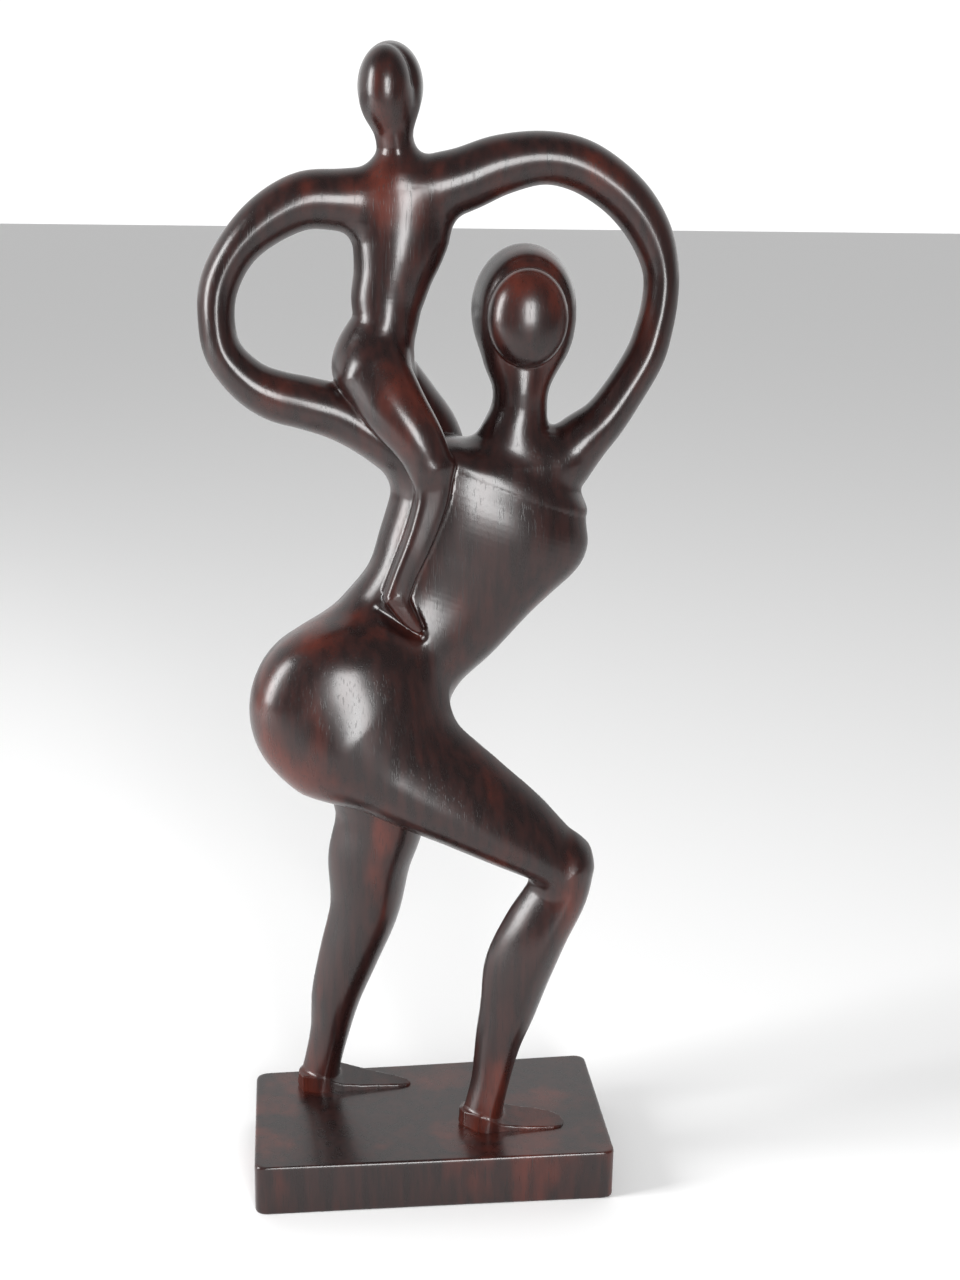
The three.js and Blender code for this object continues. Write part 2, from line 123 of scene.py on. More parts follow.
class Limb:
    """A superelliptic section carried along a smooth path, as a field of distances.

    Each station is x, y, z, half width across the path in the XZ plane, half depth along Y and,
    if given, the section's sideways shift. Below a power of 2 the section has soft ridges: ridge
    sets those towards +Y and -Y off the middle, as a part of the half width.
    """

    REACH = 14
    OUTSIDE = 40.0

    def __init__(self, stations, power=2.0, start=None, end=None, ridge=0.0):
        rows = [(*row, 0) if len(row) == 5 else row for row in stations]
        path, self.step = smooth_path(rows, PATH_STEP)
        self.centre, self.width, self.depth, self.shift = np.split(path, [3, 4, 5], axis=1)
        slope = np.gradient(self.centre, axis=0)
        self.along = slope / np.linalg.norm(slope, axis=1, keepdims=True)
        through = np.array([0, 1.0, 0]) - self.along[:, 1:2] * self.along
        self.through = through / np.linalg.norm(through, axis=1, keepdims=True)
        self.across = np.cross(self.through, self.along)
        self.power = power
        self.ridge = ridge
        self.caps = (start, end)
        reach = max((self.width + abs(self.shift)).max(), self.depth.max(), start or 0, end or 0)
        self.low = self.centre.min(0) - reach
        self.high = self.centre.max(0) + reach

    def __call__(self, points):
        distance = np.full(len(points), self.OUTSIDE)
        inside = (points > self.low - self.REACH) & (points < self.high + self.REACH)
        near = np.nonzero(inside.all(axis=1))[0]
        for start in range(0, len(near), 100000):
            part = near[start:start + 100000]
            distance[part] = self.measure(points[part])
        return distance

    def measure(self, points):
        """Finds the two path samples whose crossing planes hold the point between them, mixes
        them in proportion to its distances from the planes, and measures the mixed section."""
        last = len(self.centre) - 1
        squares = (self.centre ** 2).sum(1) - 2 * points @ self.centre.T
        nearest = squares.argmin(1)
        ahead = ((points - self.centre[nearest]) * self.along[nearest]).sum(1) >= 0
        index = np.clip(np.where(ahead, nearest, nearest - 1), 0, last - 1)
        from_first = ((points - self.centre[index]) * self.along[index]).sum(1)
        from_second = ((points - self.centre[index + 1]) * self.along[index + 1]).sum(1)
        gap = np.maximum(from_first - from_second, 1e-3)
        part = np.clip(from_first / gap, 0, 1)[:, None]

        def at(values):
            return values[index] + (values[index + 1] - values[index]) * part

        offset = points - at(self.centre)
        width = at(self.width)[:, 0]
        depth = at(self.depth)[:, 0]
        across = (offset * at(self.across)).sum(1) - at(self.shift)[:, 0]
        through = (offset * at(self.through)).sum(1)
        across = across - self.ridge * width * np.minimum(np.abs(through) / depth, 1)
        before = (index == 0) & (from_first < 0)
        after = (index == last - 1) & (from_second > 0)
        beyond = np.where(before, from_first, np.where(after, from_second, 0))
        cap = np.minimum(width, depth)
        cap = np.where(before & (self.caps[0] is not None), self.caps[0] or 1, cap)
        cap = np.where(after & (self.caps[1] is not None), self.caps[1] or 1, cap)
        return round_distance((across, through, beyond), (width, depth, cap), self.power)


def egg(centre, radii):
    """An ellipsoid as a field of distances."""
    def field(points):
        offsets = (points - np.array(centre, float)).T
        return round_distance(offsets, radii, 2)
    return field


def pillow(centre, radii, fullness, taper=0.0):
    """An ellipse in the XZ plane given a body along Y: the ellipse's own scale and the depth's
    are joined by a power mean of the given fullness. The near end is narrowed by the taper."""
    def field(points):
        x, y, z = (points - np.array(centre, float)).T
        narrow = 1 + taper * np.clip(y / radii[1], -1, 1)
        flat = np.sqrt((x / radii[0]) ** 2 + (z / radii[2]) ** 2) / narrow
        scale = (flat ** fullness + np.abs(y / radii[1]) ** fullness) ** (1 / fullness)
        away = np.sqrt(x * x + y * y + z * z)
        return np.maximum(away * (1 - 1 / np.maximum(scale, 1e-6)), -min(radii))
    return field


def blend(size, *distances):
    """Union of fields, with the crease between them worked into a hollow of the given size:
    the lower field, less size * h * (1 - h) where h passes from 0 to 1 across the crease."""
    whole = distances[0]
    for other in distances[1:]:
        h = np.clip(0.5 + 0.5 * (other - whole) / size, 0, 1)
        whole = other + (whole - other) * h - size * h * (1 - h)
    return whole


def carve(size, whole, tool):
    """The whole without the tool's shape, with an edge eased by the given size."""
    return -blend(size, -whole, tool)


# The parent
HIP_NEAR = pillow((-46, -12, 258), (44, 30, 44.5), 2.35)
HIP_FAR = pillow((-45.5, 22, 250), (44, 27, 43), 2.35)
HOOD = pillow((43.2, 6, 448), (24.2, 17, 29.5), 3.4, 0.13)
FACE = egg((42, -10, 446), (18.8, 14, 23))
THIGH_NEAR = Limb([
    (-35.5, -14, 251.5, 39, 30),
    (-10, -17, 230, 30, 28),
    (16.5, -19, 212.5, 24.5, 25),
    (41, -19, 195.5, 20, 21.5),
    (59, -19, 181.5, 15.5, 18),
    (66, -19, 175, 15, 16),
], power=1.75, end=9, ridge=0.3)
SHIN_NEAR = Limb([
    (66.5, -19, 176, 14.5, 15.5),
    (62.5, -19, 161, 15.5, 16.5),
    (52, -18, 140, 17, 18),
    (44, -17, 119.5, 17.5, 17),
    (39, -16, 95, 14.5, 14.5),
    (34.5, -15, 75.5, 12, 12),
    (31, -14, 52.5, 10, 11),
    (28, -14, 37, 10.2, 11),
    (26.5, -14, 27, 11.2, 11.5),
], power=1.6, end=3, ridge=-0.2)
LEG_FAR = Limb([
    (-30.5, 20, 232.5, 28, 26),
    (-24, 26, 188, 23.5, 23),
    (-29.5, 28, 162.5, 21.8, 21.5),
    (-32, 30, 134, 18.5, 19),
    (-40, 31, 107, 16, 16.5),
    (-47, 32, 83, 13.5, 14.5),
    (-51, 33, 59, 10.5, 12),
    (-55.5, 33, 38, 10, 11),
    (-57.5, 33, 27, 11, 11),
], power=1.6, end=3, ridge=-0.15)
TORSO = Limb([
    (-19.5, MIDDLE, 256.5, 37, 33, -11),
    (-12.5, MIDDLE, 275.5, 38.5, 30, -11),
    (-5.5, MIDDLE, 294.5, 39.5, 27, -2),
    (1.5, MIDDLE, 313.5, 40.5, 25, 5.5),
    (8, MIDDLE, 332, 45.5, 26, 10),
    (14.5, MIDDLE, 349.5, 50, 27.5, 13),
    (18.5, MIDDLE, 361, 50, 27, 11),
    (22, MIDDLE, 370, 47, 25.5, 9.5),
], power=2.25, end=15)
NECK = Limb([
    (39, MIDDLE - 2, 377, 30, 18),
    (39, MIDDLE - 2, 391.5, 17, 15),
    (40.5, MIDDLE - 2, 402, 13.5, 13.5),
    (41, MIDDLE - 2, 411.5, 13.5, 14),
    (41.5, MIDDLE, 423, 18.5, 15.5),
    (42.5, MIDDLE + 1, 434, 22, 16),
    (42.5, MIDDLE + 2, 442.5, 22, 16),
], end=10)

# The arms that both figures share
ARM_LEFT = Limb([
    (-27, MIDDLE, 496.5, 16.5, 12),
    (-44, MIDDLE, 497.5, 14, 12.5),
    (-60.5, MIDDLE, 497, 13, 12.5),
    (-77.5, MIDDLE, 488.5, 11.5, 12),
    (-91.5, MIDDLE, 475, 9.5, 11.5),
    (-100, MIDDLE, 458.5, 9, 11),
    (-101.5, MIDDLE, 443, 8.5, 11),
    (-98.5, MIDDLE, 428, 9, 11),
    (-87, MIDDLE, 414.5, 10.5, 11.5),
    (-75, MIDDLE, 408, 12, 12),
    (-61, MIDDLE, 404.5, 12.5, 13),
    (-45.5, MIDDLE, 400, 13, 14),
    (-30.5, MIDDLE, 391.5, 12.5, 16),
    (-15, MIDDLE, 380, 12.5, 18),
    (3, MIDDLE, 362.5, 12, 14),
], power=1.85)
ARM_RIGHT = Limb([
    (-16.5, MIDDLE, 498, 14.5, 12.5),
    (-3, MIDDLE, 502.5, 15.5, 13.5),
    (13, MIDDLE, 507.5, 14.5, 13),
    (29.5, MIDDLE, 514, 13.5, 12.5),
    (50, MIDDLE, 517.5, 12, 12),
    (66.5, MIDDLE, 514.5, 12, 12),
    (83, MIDDLE, 505, 11.5, 12),
    (94, MIDDLE, 494.5, 11, 12),
    (102.5, MIDDLE, 481, 10, 11.5),
    (107, MIDDLE, 466, 8.5, 11),
    (107, MIDDLE, 452.5, 8.5, 11),
    (104.5, MIDDLE, 438.5, 9, 11),
    (101, MIDDLE, 427, 9.5, 11.5),
    (89.5, MIDDLE, 407, 10, 12),
    (81.5, MIDDLE, 396, 11, 13),
    (71, MIDDLE, 386, 13.5, 15),
    (58, MIDDLE, 372, 16, 16),
    (40, MIDDLE, 352, 12, 12),
], power=1.85)

# The child, astride the parent's shoulder
CHILD_HOOD = pillow((-20.8, 6, 547.5), (14.5, 10, 19.3), 3.4, 0.12)
CHILD_FACE = egg((-24, -1, 547), (12, 14, 18.5))
CHILD_HIP = egg((-30, MIDDLE, 422), (17.5, 19, 17))
CHILD_NECK = Limb([
    (-18, MIDDLE, 510, 13, 11),
    (-18.5, MIDDLE, 520, 9, 9.5),
    (-19.5, MIDDLE - 1, 526, 8.5, 9.5),
    (-20.5, MIDDLE - 1, 536.5, 11.5, 11.5),
    (-21.5, MIDDLE, 542.5, 12, 12),
], power=1.75, end=6)
CHILD_BODY = Limb([
    (-17.5, MIDDLE, 503, 17, 13),
    (-15.5, MIDDLE, 488, 22.5, 15),
    (-17.5, MIDDLE, 476, 21.5, 16),
    (-20, MIDDLE, 464, 18.5, 15.5),
    (-22.5, MIDDLE, 452.5, 17, 14.5),
    (-23.5, MIDDLE, 442.5, 15.5, 15),
    (-27, MIDDLE, 431.5, 17, 17),
    (-28.5, MIDDLE, 420, 17, 18),
], power=1.85)
CHILD_THIGH_NEAR = Limb([
    (-29.5, -7, 420.5, 17, 14),
    (-20, -15, 405, 15, 13.5),
    (-10, -20, 391, 12.5, 12),
    (-3.5, -21, 379, 10.5, 10.5),
], power=1.9, end=8)
CHILD_THIGH_FAR = Limb([
    (-26, 13, 418, 17.5, 14),
    (-11, 20, 403.5, 14, 13.5),
    (2, 25, 388.5, 12, 12),
    (8, 28, 377, 10.5, 10.5),
], power=1.9, end=8)
CHILD_SHIN_NEAR = Limb([
    (-2.8, -20, 378, 10, 9),
    (-3, -20, 364, 8, 8.5),
    (-6.5, -20, 351, 7.2, 8.5),
    (-10.5, -20, 340, 6.7, 8.5),
    (-15.5, -19.5, 328, 6.2, 8.5),
    (-19.6, -19, 316, 6.2, 8.5),
], power=3.2, start=5, end=2)
CHILD_FOOT_NEAR = Limb([
    (-20.5, -19, 316.5, 5.5, 8.5),
    (-15.5, -19.5, 308.5, 4.6, 8),
    (-11.5, -20, 303, 3.2, 7),
    (-9.2, -20, 300.5, 2, 6),
], power=3.2, start=2, end=1.5)
CHILD_SHIN_FAR = Limb([
    (8.5, 28, 376, 10, 9),
    (8, 29, 363, 8, 8.5),
    (5, 29, 348, 7, 8),
    (-0.5, 29, 328.5, 6.5, 8),
    (-6.5, 29, 307, 6, 8),
], power=3, start=5, end=2)
CHILD_FOOT_FAR = Limb([
    (-7.5, 29, 307.5, 5, 8),
    (-2.5, 29, 297, 4, 7),
    (2, 29, 291, 2.5, 6),
], power=3, start=2, end=1.5)

# Hollows cut with a small gouge: beside the child's shins and under their feet
SHIN_CUT_NEAR = Limb([
    (9.5, -24, 379, 1.3, 2),
    (6.5, -24, 365, 1.3, 2),
    (-2.2, -23.5, 341, 1.3, 2),
    (-12.4, -22.5, 319, 1.3, 2),
    (-6.8, -22, 301, 1.3, 2),
])
SOLE_CUT_NEAR = Limb([
    (-28, -20, 309.5, 2.5, 4),
    (-19, -22, 303.5, 3, 5),
    (-9, -23, 297, 2, 4),
])


def heads_and_necks(points):
    """Faces stand out of a hood that tapers towards the front, with a crease round them."""
    neck = NECK(points)
    head = blend(1.0, blend(5, HOOD(points), neck), FACE(points))
    child_neck = CHILD_NECK(points)
    child_front = blend(5, CHILD_FACE(points), child_neck)
    child_head = blend(0.8, blend(4, CHILD_HOOD(points), child_neck), child_front)
    return head, child_head


def child_legs(points):
    """Thighs round the parent's neck, and shins and feet cut flat on the flanks."""
    near = blend(5, CHILD_THIGH_NEAR(points), CHILD_SHIN_NEAR(points))
    far = blend(5, CHILD_THIGH_FAR(points), CHILD_SHIN_FAR(points))
    near = blend(1.5, near, CHILD_FOOT_NEAR(points))
    far = blend(1.5, far, CHILD_FOOT_FAR(points))
    return blend(3, near, far)


def figures(points):
    """Both figures, down to the parent's ankles, as one field."""
    hips = blend(6, HIP_NEAR(points), HIP_FAR(points))
    trunk = blend(13, hips, TORSO(points))
    legs = blend(5, blend(12, trunk, THIGH_NEAR(points)), LEG_FAR(points))
    legs = blend(6, legs, SHIN_NEAR(points))
    arms = blend(4, ARM_LEFT(points), ARM_RIGHT(points))
    head, child_head = heads_and_necks(points)
    parent = blend(9, blend(8, legs, arms), head)
    parent = carve(4, parent, SOLE_CUT_NEAR(points))
    parent = carve(1.0, parent, SHIN_CUT_NEAR(points))
    body = blend(8, CHILD_BODY(points), CHILD_HIP(points))
    child = blend(4, body, child_legs(points))
    shoulder = np.clip((points[:, 2] - 440) / 40, 0, 1) ** 2
    whole = blend(2 + 6 * shoulder, parent, child)
    return blend(6, whole, child_head)


COARSE = 4


def banded_values(field, low, high, cell):
    """Field values at a grid's points: worked out near the surface only, and plus or minus
    ten beyond, by the sign at the middle of each block of coarse cells."""
    low = np.array(low, float)
    blocks = np.ceil((np.array(high) - low) / (cell * COARSE)).astype(int)
    middles = [low[k] + cell * COARSE * (np.arange(blocks[k]) + 0.5) for k in range(3)]
    grid = np.stack(np.meshgrid(*middles, indexing="ij"), -1).reshape(-1, 3)
    coarse = field(grid).reshape(blocks)
    values = np.full(blocks * COARSE + 1, 10.0)
    active = np.zeros(values.shape, bool)
    inner = tuple(slice(0, n) for n in blocks * COARSE)
    spread = np.ones((COARSE,) * 3)
    values[inner] = np.kron(np.sign(coarse), spread) * 10
    active[inner] = np.kron(np.abs(coarse) < cell * COARSE * 1.3 + 1, spread) > 0
    for axis in range(3):
        active |= np.roll(active, 1, axis=axis)
    near = np.nonzero(active)
    values[near] = field(low + cell * np.stack(near, 1))
    return values, low


def net_surface(values, low, cell):
    """Surface net: one vertex in each cell that the surface crosses, at the mean of its edges'
    crossings, and one quad round each crossed edge, turned to face outwards."""
    cells = np.array(values.shape) - 1
    inside = values < 0
    owners, crossings, quads = [], [], []
    for axis in range(3):
        u, v = (axis + 1) % 3, (axis + 2) % 3
        lower = [slice(None)] * 3
        upper = [slice(None)] * 3
        lower[axis] = slice(0, -1)
        upper[axis] = slice(1, None)
        start = np.stack(np.nonzero(inside[tuple(lower)] != inside[tuple(upper)]), 1)
        clear = (start[:, u] > 0) & (start[:, u] < cells[u])
        clear &= (start[:, v] > 0) & (start[:, v] < cells[v])
        start = start[clear]
        end = start.copy()
        end[:, axis] += 1
        before = values[tuple(start.T)]
        after = values[tuple(end.T)]
        place = start.astype(float)
        place[:, axis] += before / (before - after)
        ring = []
        for back_u, back_v in ((1, 1), (0, 1), (0, 0), (1, 0)):
            cell_place = start.copy()
            cell_place[:, u] -= back_u
            cell_place[:, v] -= back_v
            ring.append((cell_place[:, 0] * cells[1] + cell_place[:, 1]) * cells[2]
                        + cell_place[:, 2])
            owners.append(ring[-1])
            crossings.append(place)
        ring = np.stack(ring, 1)
        ring[before > 0] = ring[before > 0][:, ::-1]
        quads.append(ring)
    names, owner = np.unique(np.concatenate(owners), return_inverse=True)
    crossings = np.concatenate(crossings)
    count = np.bincount(owner)
    means = [np.bincount(owner, crossings[:, k]) / count for k in range(3)]
    return low + cell * np.stack(means, 1), np.searchsorted(names, np.concatenate(quads))


def slopes(field, points, reach):
    """Central differences of a field along the three axes."""
    steps = np.eye(3) * reach
    return np.stack([(field(points + s) - field(points - s)) / (2 * reach) for s in steps], 1)


def settle(field, points, cell):
    """Newton steps that slide the vertices onto the surface, no further than most of a cell."""
    start = points
    for _ in range(2):
        slope = slopes(field, points, 0.1 * cell)
        steep = np.maximum((slope ** 2).sum(1), 0.2)
        points = points - slope * (field(points) / steep)[:, None]
    moved = points - start
    length = np.linalg.norm(moved, axis=1, keepdims=True)
    return start + moved * np.minimum(1, 0.6 * cell / np.maximum(length, 1e-9))


def carved_piece(name, mesh, normals=None):
    """An object of the carving, from a mesh in millimetres, that rides on the one body."""
    mesh.transform(Matrix.Scale(MM, 4))
    mesh.shade_smooth()
    if normals is not None:
        mesh.normals_split_custom_set_from_vertices(normals)
    piece = bpy.data.objects.new(name, mesh)
    bpy.context.scene.collection.objects.link(piece)
    mesh.materials.append(dark_wood)
    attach(piece, "root")
    return piece


def net_piece(name, field, low, high, cell, floor=None, ceiling=None):
    """The field's surface inside a box, sawn level and closed at the floor and ceiling."""
    values, low = banded_values(field, low, high, cell)
    vertices, faces = net_surface(values, low, cell)
    mesh = bpy.data.meshes.new(name)
    mesh.from_pydata(settle(field, vertices, cell).tolist(), [], faces.tolist())
    body = bmesh.new()
    body.from_mesh(mesh)
    for level, side in ((floor, -1), (ceiling, 1)):
        if level is None:
            continue
        parts = body.verts[:] + body.edges[:] + body.faces[:]
        bmesh.ops.bisect_plane(body, geom=parts, dist=1e-5, plane_co=(0, 0, level),
                               plane_no=(0, 0, side), clear_outer=True)
        rim = [edge for edge in body.edges if edge.is_boundary]
        bmesh.ops.holes_fill(body, edges=rim, sides=0)
    body.to_mesh(mesh)
    body.free()
    places = np.empty(len(mesh.vertices) * 3)
    mesh.vertices.foreach_get("co", places)
    normals = slopes(field, places.reshape(-1, 3), 0.25 * cell)
    normals /= np.maximum(np.linalg.norm(normals, axis=1, keepdims=True), 1e-9)
    print(name, len(mesh.polygons) * 2)
    return carved_piece(name, mesh, normals.tolist())


def skin(name, vertices, faces):
    mesh = bpy.data.meshes.new(name)
    mesh.from_pydata(vertices.tolist(), [], faces)
    return carved_piece(name, mesh)


def closed_sweep(rings):
    """Vertices and faces of a closed skin through an array of rings, with a middle point to
    close each end."""
    count, sides = rings.shape[:2]
    vertices = np.vstack([rings.reshape(-1, 3), rings[0].mean(0), rings[-1].mean(0)])
    i, j = np.meshgrid(np.arange(count - 1), np.arange(sides), indexing="ij")
    i, j = i.ravel(), j.ravel()
    after = (j + 1) % sides
    quads = np.stack([i * sides + j, i * sides + after, (i + 1) * sides + after,
                      (i + 1) * sides + j], 1)
    j = np.arange(sides)
    after = (j + 1) % sides
    first = np.stack([after, j, np.full(sides, count * sides)], 1)
    last = (count - 1) * sides
    final = np.stack([last + j, last + after, np.full(sides, count * sides + 1)], 1)
    return vertices, quads.tolist() + first.tolist() + final.tolist()


class Socket:
    """A node socket or a number, so that shader maths reads as Python."""

    tree = None

    def __init__(self, link):
        self.link = link

    @classmethod
    def node(cls, kind, settings=None, **inputs):
        """Adds a node: its settings first, then values or links for its named sockets."""
        node = cls.tree.nodes.new(kind)
        for key, value in (settings or {}).items():
            if key == "stops":
                ramp = node.color_ramp.elements
                while len(ramp) < len(value):
                    ramp.new(1)
                for element, (place, colour) in zip(ramp, value):
                    element.position = place
                    element.color = (*colour, 1) if len(colour) == 3 else colour
            else:
                setattr(node, key, value)
        for key, value in inputs.items():
            socket = node.inputs[int(key[1:])] if key[0] == "i" and key[1:].isdigit() \
                else node.inputs[key.replace("_", " ")]
            if isinstance(value, Socket):
                cls.tree.links.new(value.link, socket)
            else:
                socket.default_value = value
        return node

    def math(self, operation, other=None, swap=False):
        pair = (other, self) if swap else (self, other)
        inputs = {f"i{k}": v for k, v in enumerate(pair) if v is not None}
        return Socket(self.node("ShaderNodeMath", {"operation": operation}, **inputs).outputs[0])

    def __add__(self, other):
        return self.math("ADD", other)

    def __mul__(self, other):
        return self.math("MULTIPLY", other)

    def __sub__(self, other):
        return self.math("SUBTRACT", other)

    def __rsub__(self, other):
        return self.math("SUBTRACT", other, swap=True)

    def __pow__(self, other):
        return self.math("POWER", other)

    __radd__ = __add__
    __rmul__ = __mul__

    def clamp(self):
        node = self.node("ShaderNodeClamp", None, Value=self)
        return Socket(node.outputs[0])

    def spread(self, low, high):
        """0 below low, 1 above high and a smooth passage between."""
        node = self.node("ShaderNodeMapRange", {"interpolation_type": "SMOOTHSTEP"}, Value=self,
                         From_Min=low, From_Max=high)
        return Socket(node.outputs[0])


def coordinates(stretch, turn=(0, 0, 0)):
    """Object coordinates in metres, scaled along each axis."""
    place = Socket(Socket.node("ShaderNodeTexCoord").outputs["Object"])
    mapped = Socket.node("ShaderNodeMapping", None, Vector=place, Scale=stretch, Rotation=turn)
    return Socket(mapped.outputs[0])


def noise(stretch, scale, detail=2.0, rough=0.5, turn=(0, 0, 0)):
    node = Socket.node("ShaderNodeTexNoise", None, Vector=coordinates(stretch, turn), Scale=scale,
                       Detail=detail, Roughness=rough)
    return Socket(node.outputs[0])


def mix(factor, first, second):
    node = Socket.node("ShaderNodeMix", {"data_type": "RGBA"}, i0=factor, i6=first, i7=second)
    return Socket(node.outputs[2])


def wood_material():
    """Near-black stain over red-brown wood, with upright pores, under a soft polish."""
    material = bpy.data.materials.new("dark_polished_wood")
    material.use_nodes = True
    tree = material.node_tree
    tree.nodes.clear()
    Socket.tree = tree
    clouds = noise((1, 1, 0.45), 26, 3, 0.55)
    bands = noise((1, 1, 0.12), 210, 2, 0.5)
    pores = noise((1, 1, 0.07), 1500, 1, 0.4).spread(0.60, 0.72)
    fine = noise((1, 1, 0.10), 3200, 1, 0.5)
    worn = (clouds.spread(0.50, 0.72) * (0.45 + bands * 1.1)).clamp()
    stain = mix(bands.spread(0.35, 0.7), (0.010, 0.0042, 0.0040, 1), (0.022, 0.0070, 0.0060, 1))
    colour = mix(worn * 0.75, stain, (0.085, 0.014, 0.007, 1))
    colour = mix(pores * 0.6, colour, (0.004, 0.002, 0.002, 1))
    rough = 0.25 + bands * 0.06 + pores * 0.10
    height = fine * 0.25 - pores
    bump = Socket.node("ShaderNodeBump", None, Height=height, Strength=0.2, Distance=0.0001)
    dents = noise((1, 1, 0.6), 60, 2, 0.5)
    dented = Socket.node("ShaderNodeBump", None, Height=dents, Strength=0.3, Distance=0.0003,
                         Normal=Socket(bump.outputs[0]))
    shader = Socket.node("ShaderNodeBsdfPrincipled", None, Base_Color=colour, Roughness=rough,
                         IOR=1.45, Coat_Weight=0.2, Coat_Roughness=0.15,
                         Normal=Socket(dented.outputs[0]))
    output = Socket.node("ShaderNodeOutputMaterial")
    tree.links.new(shader.outputs[0], output.inputs[0])
    return material


dark_wood = wood_material()

# A parent's foot, from heel to toe: x, outer y, inner y, and the heights of its outer and
# inner edges above the base
FOOT_NEAR = (
    (15, -15, -12, 9, 9),
    (17, -18.5, -8, 9, 9),
    (25, -24.3, -5, 9, 9),
    (30, -24.6, -5.5, 6.5, 8.5),
    (38, -24.6, -7, 3.4, 6.5),
    (47, -24.6, -7.5, 2.2, 4.8),
    (56, -24.5, -8.5, 1.6, 3.8),
    (64, -24.2, -11, 1.2, 3),
    (68, -23.2, -14, 1.0, 2.4),
    (70, -20, -17, 0.8, 1.8),
)
FOOT_FAR = (
    (-68, 29, 33, 9, 9),
    (-66, 25, 37, 9, 9),
    (-58, 22.8, 42, 9, 9),
    (-52, 22.6, 42.5, 7, 8.5),
    (-44, 22.8, 42.5, 4, 6.5),
    (-34, 23.2, 39.5, 2.8, 4.8),
    (-24, 23.6, 36, 2.2, 3.8),
    (-14, 24.2, 32, 1.6, 3),
    (-9, 25, 29.5, 1.2, 2.4),
    (-7, 26.5, 28, 0.8, 1.8),
)
FOOT_SUNK = 3
FOOT_EDGE = 0.7


def foot(points, stations):
    """A low slab over the plan between its outer and inner lines, whose top rises from the
    outer line to the inner one."""
    x, y, z = points.T
    rows = np.array(stations, float).T
    outer, inner, low, high = (np.interp(x, rows[0], row) for row in rows[1:])
    width = inner - outer
    side = np.maximum(outer - y, y - inner)
    ends = np.maximum(rows[0][0] - x, x - rows[0][-1])
    part = np.clip((y - outer) / width, 0, 1)
    top = z - BASE_HEIGHT - low - (high - low) * part
    under = BASE_HEIGHT - FOOT_SUNK - z
    plan = -blend(2, -side, -ends)
    return np.maximum(-blend(FOOT_EDGE, -plan, -top), under)


def leg_and_foot(stations):
    def field(points):
        return blend(2.5, figures(points), foot(points, stations))
    return field


BASE_CORNERS = ((-92, -47), (92, -49), (93, 50), (-91, 46))
BASE_CORNER_RADIUS = 6


def base_piece():
    """Rings of the rounded outline: up the sides, then inwards over the flat top in rings that
    shrink towards its middle."""
    corners = np.array(BASE_CORNERS, float)
    outline = []
    for k in range(4):
        before = corners[k - 1] - corners[k]
        after = corners[(k + 1) % 4] - corners[k]
        start = corners[k] + before / np.linalg.norm(before) * BASE_CORNER_RADIUS
        end = corners[k] + after / np.linalg.norm(after) * BASE_CORNER_RADIUS
        t = np.linspace(0, 1, 9)[:, None]
        outline.append((1 - t) ** 2 * start + 2 * t * (1 - t) * corners[k] + t ** 2 * end)
        following = corners[(k + 1) % 4] - after / np.linalg.norm(after) * BASE_CORNER_RADIUS
        outline.append(end + (following - end) * np.linspace(0, 1, 60)[1:-1, None])
    outline = np.vstack(outline)
    middle = corners.mean(0)
    levels = [(0.0, 1.2), (0.4, 0.35), (1.2, 0.0)]
    levels += [(z, 0.0) for z in np.linspace(3, BASE_HEIGHT - 2.5, 10)]
    levels += [(BASE_HEIGHT - 1.2, 0.1), (BASE_HEIGHT - 0.4, 0.45), (BASE_HEIGHT, 1.2)]
    rings = []
    reach = np.linalg.norm(outline - middle, axis=1, keepdims=True)
    for z, inset in levels:
        flat = outline - (outline - middle) / reach * inset
        rings.append(np.column_stack([flat, np.full(len(flat), z)]))
    edge = rings[-1][:, :2]
    for part in np.linspace(1, 0.02, 70)[1:]:
        flat = middle + (edge - middle) * part
        rings.append(np.column_stack([flat, np.full(len(flat), BASE_HEIGHT)]))
    rings = np.array(rings)
    return skin("block_base", *closed_sweep(rings))


block_base = base_piece()

# Levels at which the carving's surface is divided, so that each piece has its own cell size
WAIST_LEVEL = 284
ANKLE_LEVEL = 62
FINE, MIDDLING, COARSER = ((1.25, 1.5, 0.9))
upper = net_piece("upper_figures", figures, (-116, -42, WAIST_LEVEL - 6), (120, 52, 572), FINE,
                  floor=WAIST_LEVEL)
lower = net_piece("hips_and_legs", figures, (-98, -52, ANKLE_LEVEL - 6),
                  (94, 60, WAIST_LEVEL + 6), MIDDLING, floor=ANKLE_LEVEL, ceiling=WAIST_LEVEL)
foot_near = net_piece("near_foot", leg_and_foot(FOOT_NEAR), (8, -32, BASE_HEIGHT - 6),
                      (78, 6, ANKLE_LEVEL + 5), COARSER, ceiling=ANKLE_LEVEL)
foot_far = net_piece("far_foot", leg_and_foot(FOOT_FAR), (-76, 14, BASE_HEIGHT - 6),
                     (0, 52, ANKLE_LEVEL + 5), COARSER, ceiling=ANKLE_LEVEL)
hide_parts(CARVING)


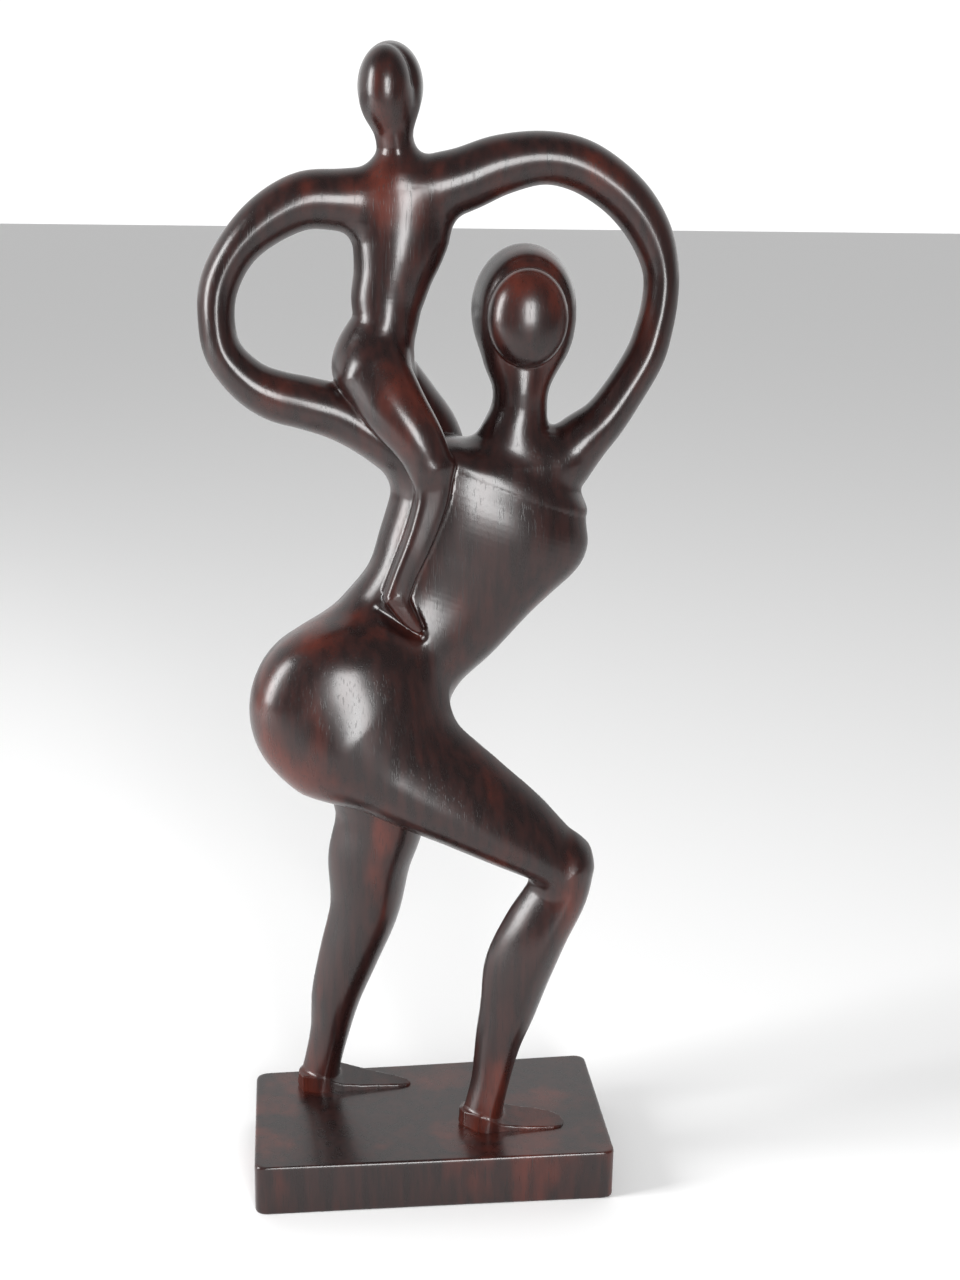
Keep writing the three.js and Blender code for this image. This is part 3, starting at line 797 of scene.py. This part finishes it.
def studio_floor():
    """Wide pale floor: white round and behind the base, greyer far in front of it, where the grey
    is painted shade standing in for the dim room in front, for the figures to reflect.
    """
    corners = [(-9, -9, 0), (9, -9, 0), (9, 9, 0), (-9, 9, 0)]
    mesh = bpy.data.meshes.new("studio_floor")
    mesh.from_pydata(corners, [], [(0, 1, 2, 3)])
    floor = bpy.data.objects.new("studio_floor", mesh)
    bpy.context.scene.collection.objects.link(floor)
    material = bpy.data.materials.new("pale_floor_with_painted_shade")
    material.use_nodes = True
    tree = material.node_tree
    tree.nodes.clear()
    Socket.tree = tree
    place = Socket.node("ShaderNodeTexCoord").outputs["Object"]
    forward = Socket(Socket.node("ShaderNodeSeparateXYZ", None, Vector=Socket(place)).outputs[1])
    # Painted shade: grey far in front of the base, white near it and behind it
    colour = mix(forward.spread(-1.1, -0.3), (0.3, 0.3, 0.3, 1), (0.93, 0.93, 0.93, 1))
    shader = Socket.node("ShaderNodeBsdfPrincipled", None, Base_Color=colour, Roughness=0.9)
    output = Socket.node("ShaderNodeOutputMaterial")
    tree.links.new(shader.outputs[0], output.inputs[0])
    mesh.materials.append(material)


studio_floor()
FIGURE_MIDDLE = Vector((0, 0, 0.3))


def window_light(name, left, up, distance, size, power):
    """A rectangular light turned towards the figures. Left and up are its angles from the
    camera's direction, as seen from the figures."""
    towards = -VIEW_FORWARD
    turned = Matrix.Rotation(math.radians(-left), 3, "Z") @ towards
    side = turned.cross(Vector((0, 0, 1))).normalized()
    turned = Matrix.Rotation(math.radians(up), 3, side) @ turned
    data = bpy.data.lights.new(name, "AREA")
    data.shape = "RECTANGLE"
    data.size, data.size_y = size
    data.energy = power
    light = bpy.data.objects.new(name, data)
    bpy.context.scene.collection.objects.link(light)
    light.rotation_euler = turned.to_track_quat("Z", "Y").to_euler()
    light.location = FIGURE_MIDDLE + turned * distance
    return light


window_light("window_behind_camera", -12, -6, 2.0, (0.7, 1.1), 48)
window_light("window_left", 74, 0, 1.7, (0.5, 1.2), 36)


def studio_world():
    """White behind the figures and grey in front of them, so that their sides stay dark."""
    world = bpy.data.worlds.new("studio")
    world.use_nodes = True
    tree = world.node_tree
    tree.nodes.clear()
    Socket.tree = tree
    direction = Socket(Socket.node("ShaderNodeTexCoord").outputs["Generated"])
    forward = Socket(Socket.node("ShaderNodeSeparateXYZ", None, Vector=direction).outputs[1])
    colour = mix(forward.spread(-0.1, 0.6), (0.2, 0.2, 0.2, 1), (1.1, 1.1, 1.1, 1))
    background = Socket.node("ShaderNodeBackground", None, Color=colour, Strength=1.0)
    output = Socket.node("ShaderNodeOutputWorld")
    tree.links.new(background.outputs[0], output.inputs[0])
    bpy.context.scene.world = world


studio_world()
bpy.context.scene.view_settings.view_transform = "Standard"
